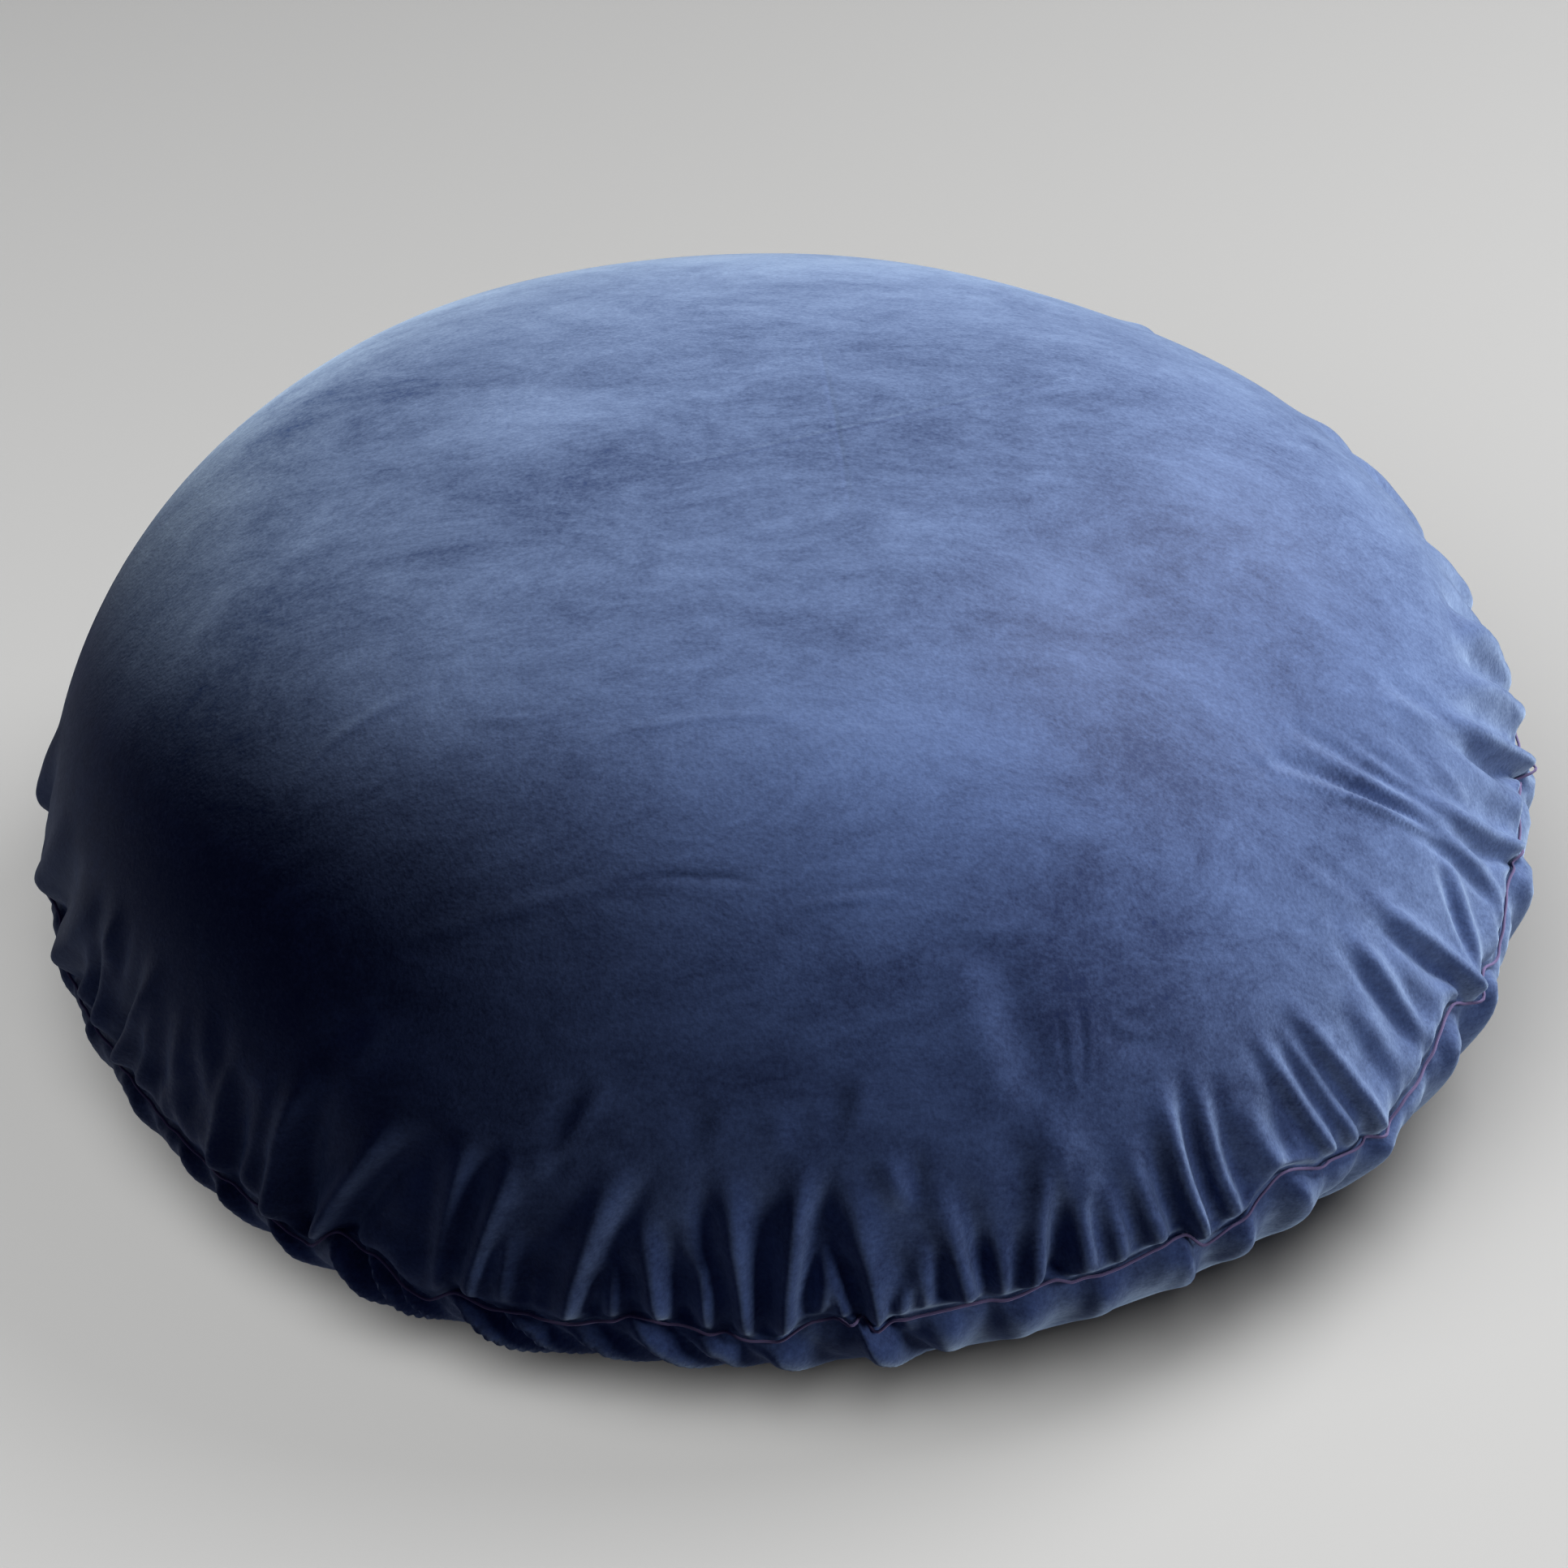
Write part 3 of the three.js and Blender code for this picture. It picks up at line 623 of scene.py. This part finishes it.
def buildPillow():
    angles = columnAngles()
    distances, seamRing, upper = ringDistances(sections(angles))
    points, shape = pillowPoints(angles, distances)
    plain, _ = pillowPoints(angles, distances, folded=False)
    band = slice(seamRing, seamRing + 1 + int((upper < settle["bandHigh"]).sum()))
    points[:, band] = easeCloth(points[:, band], plain[:, band], distances[:, band])
    verts, uvs, rings = [], [], []
    for ring in range(distances.shape[1]):
        stride = ringStride(distances[:, ring], points[:, ring])
        rings.append(list(range(len(verts), len(verts) + len(angles[::stride]))))
        for c in range(0, len(angles), stride):
            verts.append(points[c, ring])
            fromSeam = distances[c, ring]
            if fromSeam > 0:
                fromMiddle = shape["above"][c] - fromSeam
            else:
                fromMiddle = shape["below"][c] + grid["footUvStart"] + fromSeam
            uvs.append(panelPlace(fromMiddle, angles[c]))
    faces = []
    for low, high in zip(rings[:-1], rings[1:]):
        faces += joinRings(low, high)
    closeCrown(verts, uvs, faces, rings[-1])
    closeFoot(verts, uvs, faces, rings[0])
    places = np.array(verts)
    middle = (places.min(0) + places.max(0)) / 2
    places[:, :2] -= middle[:2]
    mesh = bpy.data.meshes.new("pillowCover")
    mesh.from_pydata((places / 1000).tolist(), [], faces)
    layer = mesh.uv_layers.new(name="cutPanel")
    loops = np.empty(len(mesh.loops), dtype=np.int32)
    mesh.loops.foreach_get("vertex_index", loops)
    layer.data.foreach_set("uv", np.array(uvs, dtype=np.float32)[loops].ravel())
    # lighter and darker places, partly pile tone and partly painted light and shade, stored on every point
    pileToneAndPaintedLight = toneAndPaintedLightAt(places).astype(np.float32)
    mesh.attributes.new("pileToneAndPaintedLight", "FLOAT", "POINT").data.foreach_set("value", pileToneAndPaintedLight)
    mesh.shade_smooth()
    cover = bpy.data.objects.new("pillowCover", mesh)
    scene.collection.objects.link(cover)
    print("pillow cover:", len(verts), "points", len(faces), "faces")
    return cover, places[rings[seamRing]]


# The seam's own thin rolled edge
seamEdge = {
    "radiusMm": 0.9,
    "outwardMm": 3.5,       # in front of the drawn-in stitches
    "sides": 6,
    "roughness": 0.9,
    "sheenWeight": 0.6,
    "colour": "#564b70",    # a greyish purple, paler than the velvet's own base colours
    "sheenColour": "#a596c2",
}


def makeEdgeTree(material):
    # a tube that follows a line
    tree = bpy.data.node_groups.new("rolledEdge", "GeometryNodeTree")
    tree.interface.new_socket("Geometry", in_out="INPUT", socket_type="NodeSocketGeometry")
    radius = tree.interface.new_socket("Edge radius", in_out="INPUT", socket_type="NodeSocketFloat")
    tree.interface.new_socket("Geometry", in_out="OUTPUT", socket_type="NodeSocketGeometry")
    given = addNode(tree, "NodeGroupInput")
    line = addNode(tree, "GeometryNodeMeshToCurve", {}, {"Mesh": given.outputs["Geometry"]})
    circle = addNode(tree, "GeometryNodeCurvePrimitiveCircle", {"Resolution": seamEdge["sides"]},
                     {"Radius": given.outputs["Edge radius"]})
    tube = addNode(tree, "GeometryNodeCurveToMesh", {},
                   {"Curve": line.outputs["Curve"], "Profile Curve": circle.outputs["Curve"]})
    whole = addNode(tree, "GeometryNodeRealizeInstances", {}, {"Geometry": tube.outputs["Mesh"]})
    painted = addNode(tree, "GeometryNodeSetMaterial", {"Material": material},
                      {"Geometry": whole.outputs["Geometry"]})
    addNode(tree, "NodeGroupOutput", {}, {"Geometry": painted.outputs["Geometry"]})
    return tree, radius.identifier


def buildSeamEdge(line):
    paint = bpy.data.materials.new("rolledVelvetEdge")    # velvet turned over the seam allowance
    paint.use_nodes = True
    shader = paint.node_tree.nodes["Principled BSDF"]
    shader.inputs["Base Color"].default_value = linearColour(seamEdge["colour"])
    shader.inputs["Roughness"].default_value = seamEdge["roughness"]
    shader.inputs["Sheen Weight"].default_value = seamEdge["sheenWeight"]
    shader.inputs["Sheen Tint"].default_value = linearColour(seamEdge["sheenColour"])
    outward = line * np.array([1, 1, 0])
    outward /= np.linalg.norm(outward, axis=1, keepdims=True)
    path = bpy.data.meshes.new("seamLine")
    count = len(line)
    path.from_pydata(((line + seamEdge["outwardMm"] * outward) / 1000).tolist(),
                     [(i, (i + 1) % count) for i in range(count)], [])
    guide = bpy.data.objects.new("seamLine", path)
    scene.collection.objects.link(guide)
    tree, radiusInput = makeEdgeTree(paint)
    nodes = guide.modifiers.new("rolledEdge", "NODES")
    nodes.node_group = tree
    nodes[radiusInput] = seamEdge["radiusMm"] / 1000
    graph = bpy.context.evaluated_depsgraph_get()
    mesh = bpy.data.meshes.new_from_object(guide.evaluated_get(graph))
    guide.modifiers.remove(nodes)
    bpy.data.objects.remove(guide)
    mesh.shade_smooth()
    edge = bpy.data.objects.new("seamEdge", mesh)
    scene.collection.objects.link(edge)
    print("seam edge:", len(mesh.vertices), "points")
    return edge


# Velvet
velvet = {
    "deep": "#0b1440",          # looking down into the pile
    "light": "#243f7c",         # pile laid over
    "sheenDark": "#345284",     # the same two, where the pile catches the light
    "sheenLight": "#cce2f4",
    "sheenWeight": 1.0,
    "sheenRoughness": 0.65,
    "roughness": 0.55,
    "specular": 0.1,
    "glossTint": "#9db4ee",
    "cloudMm": 62,              # the largest clouds in the pile's tone
    "cloudLong": 1.8,           # how much longer than high they are
    "cloudDetail": 7.0,
    "cloudRough": 0.88,
    "cloudTwist": 0.3,
    "pileMm": 2.4,              # the real pile is about 1.5 mm: drawn coarser, so that it shows
    "pileDetail": 1.0,
    "pileRough": 0.6,
    "pileHeightMm": 0.16,
    "pileShare": 0.28,          # what the pile, and the listed lighter and darker places with their painted light and shade, add to the clouds
    "toneAndPaintedLightShare": 0.38,
    "colourSpan": (0.43, 0.88),    # from where to where in their sum the colours change
    "sheenSpan": (0.24, 0.94),
}

# long faint creases on the crown, each an arc through three places on it (mm from the middle)
creaseColumns = ("fromX", "fromY", "overX", "overY", "toX", "toY", "width", "height")
creaseRows = [
    (-93, -24, 45, 34, 198, 123, 2.4, 0.55), (21, 172, 33, 38, 41, -81, 2.0, -0.4),
    (-260, -222, -228, -205, -175, -196, 4.6, 0.6), (-168, -220, -142, -225, -112, -229, 4.0, 0.4),
    (-107, -246, -46, -236, 10, -234, 4.0, 0.45), (-231, -309, -142, -319, -80, -316, 4.0, 0.7),
    (-80, -316, -44, -317, -8, -320, 2.4, -0.6), (8, -329, 34, -325, 60, -320, 2.4, 0.5),
    (166, -351, 188, -349, 211, -334, 4.0, -1.1), (172, -343, 189, -341, 205, -331, 3.0, -0.6),
]

# places drawn lighter (+) or darker (-): partly the pile's uneven tone, partly painted light and shade,
# with a painted highlight along the back edge and painted shade over the lower left
toneAndPaintedLightColumns = ("x", "y", "reachX", "reachY", "lift")
toneAndPaintedLightRows = [
    (68, -246, 110, 60, 0.5), (20, 30, 200, 80, -0.3), (195, -70, 120, 90, -0.2), (186, -318, 75, 60, -0.5),
    (0, 330, 330, 60, 0.6), (-200, -195, 70, 50, 0.5), (-140, -30, 110, 60, -0.3), (-250, 90, 70, 60, -0.5),
    (-165, 45, 90, 40, 0.6), (320, -70, 70, 130, 0.15), (195, -215, 105, 70, -0.35),
    (-330, -260, 170, 170, -0.6),
]
toneAndPaintedLightLowest = 40    # mm above the floor


def circleThrough(a, b, c):
    # middle and radius of the circle through three points
    turn = 2 * (a[0] * (b[1] - c[1]) + b[0] * (c[1] - a[1]) + c[0] * (a[1] - b[1]))
    p, q, r = [point[0] ** 2 + point[1] ** 2 for point in (a, b, c)]
    x = (p * (b[1] - c[1]) + q * (c[1] - a[1]) + r * (a[1] - b[1])) / turn
    y = (p * (c[0] - b[0]) + q * (a[0] - c[0]) + r * (b[0] - a[0])) / turn
    return (x, y), math.hypot(a[0] - x, a[1] - y)


def addMath(tree, operation, first, second=None, third=None):
    node = addNode(tree, "ShaderNodeMath", {"operation": operation})
    for socket, value in zip(node.inputs, (first, second, third)):
        if isinstance(value, (int, float)):
            socket.default_value = value
        elif value is not None:
            tree.links.new(value, socket)
    return node.outputs[0]


def distanceTo(tree, flat, spot):
    node = addNode(tree, "ShaderNodeVectorMath", {"operation": "DISTANCE"}, {0: flat})
    node.inputs[1].default_value = (*spot, 0)
    return node.outputs["Value"]


def addCreases(tree, place):
    # the height of all creases together, in mm
    flat = addNode(tree, "ShaderNodeVectorMath", {"operation": "MULTIPLY"}, {0: place.outputs["Object"]})
    flat.inputs[1].default_value = (1000, 1000, 0)
    total = 0.0
    for row in named(creaseColumns, creaseRows):
        ends = [(row["fromX"], row["fromY"]), (row["overX"], row["overY"]), (row["toX"], row["toY"])]
        middle, radius = circleThrough(*ends)
        aside = addMath(tree, "SUBTRACT", distanceTo(tree, flat.outputs[0], middle), radius)
        aside = addMath(tree, "DIVIDE", aside, row["width"])
        ridge = addMath(tree, "MULTIPLY", addMath(tree, "MULTIPLY", aside, aside), -1.0)
        ridge = addMath(tree, "EXPONENT", ridge)
        halfLength = math.dist(ends[0], ends[2]) / 2
        along = addMath(tree, "DIVIDE", distanceTo(tree, flat.outputs[0], ends[1]), halfLength)
        fade = addMath(tree, "SUBTRACT", 1.0, addMath(tree, "MULTIPLY", along, along))
        fade = addMath(tree, "MAXIMUM", fade, 0.0)
        height = addMath(tree, "MULTIPLY", addMath(tree, "MULTIPLY", ridge, fade), row["height"])
        total = addMath(tree, "ADD", height, total)
    return total


def addRamp(tree, share, colours, places):
    ramp = addNode(tree, "ShaderNodeValToRGB", {}, {"Fac": share})
    for stop, colour, at in zip(ramp.color_ramp.elements, colours, places):
        stop.color = linearColour(colour)
        stop.position = at
    return ramp.outputs["Color"]


def makeVelvet():
    # cut-pile velvet: dark into the pile, pale and bluish at grazing angles, cloudy in tone, with painted
    # light and shade at the listed places
    material = bpy.data.materials.new("cutPileVelvet")
    material.use_nodes = True
    tree = material.node_tree
    shader = tree.nodes["Principled BSDF"]
    shader.inputs["Roughness"].default_value = velvet["roughness"]
    shader.inputs["Sheen Weight"].default_value = velvet["sheenWeight"]
    shader.inputs["Sheen Roughness"].default_value = velvet["sheenRoughness"]
    shader.inputs["Specular IOR Level"].default_value = velvet["specular"]
    shader.inputs["Specular Tint"].default_value = linearColour(velvet["glossTint"])
    place = addNode(tree, "ShaderNodeTexCoord")
    stretched = addNode(tree, "ShaderNodeMapping", {"Scale": (1 / velvet["cloudLong"], 1, 1)},
                        {"Vector": place.outputs["Object"]})
    clouds = addNode(tree, "ShaderNodeTexNoise",
                     {"Scale": 1000 / velvet["cloudMm"], "Detail": velvet["cloudDetail"],
                      "Roughness": velvet["cloudRough"], "Distortion": velvet["cloudTwist"]},
                     {"Vector": stretched.outputs["Vector"]})
    pile = addNode(tree, "ShaderNodeTexNoise",
                   {"Scale": 1000 / velvet["pileMm"], "Detail": velvet["pileDetail"],
                    "Roughness": velvet["pileRough"]},
                   {"Vector": place.outputs["Object"]})
    # the listed places add their painted light and shade, with some pile tone, to both colour ramps
    pileToneAndPaintedLight = addNode(tree, "ShaderNodeAttribute", {"attribute_name": "pileToneAndPaintedLight"})
    share = addMath(tree, "MULTIPLY_ADD", pile.outputs["Fac"], velvet["pileShare"], clouds.outputs["Fac"])
    share = addMath(tree, "MULTIPLY_ADD", pileToneAndPaintedLight.outputs["Fac"], velvet["toneAndPaintedLightShare"], share)
    colour = addRamp(tree, share, (velvet["deep"], velvet["light"]), velvet["colourSpan"])
    sheen = addRamp(tree, share, (velvet["sheenDark"], velvet["sheenLight"]), velvet["sheenSpan"])
    tree.links.new(colour, shader.inputs["Base Color"])
    tree.links.new(sheen, shader.inputs["Sheen Tint"])
    creases = addCreases(tree, place)
    height = addMath(tree, "MULTIPLY_ADD", pile.outputs["Fac"], velvet["pileHeightMm"], creases)
    # one unit of height is a millimetre
    relief = addNode(tree, "ShaderNodeBump", {"Strength": 1.0, "Distance": 0.001}, {"Height": height})
    tree.links.new(relief.outputs["Normal"], shader.inputs["Normal"])
    return material


makeCamera()
makeStudio()
print("studio ready")
cover, seamLine = buildPillow()
cover.data.materials.append(makeVelvet())
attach(cover, "root")
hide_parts("floor_pillow")
edge = buildSeamEdge(seamLine)
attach(edge, "root")
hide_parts("floor_pillow")
print("pillow ready")
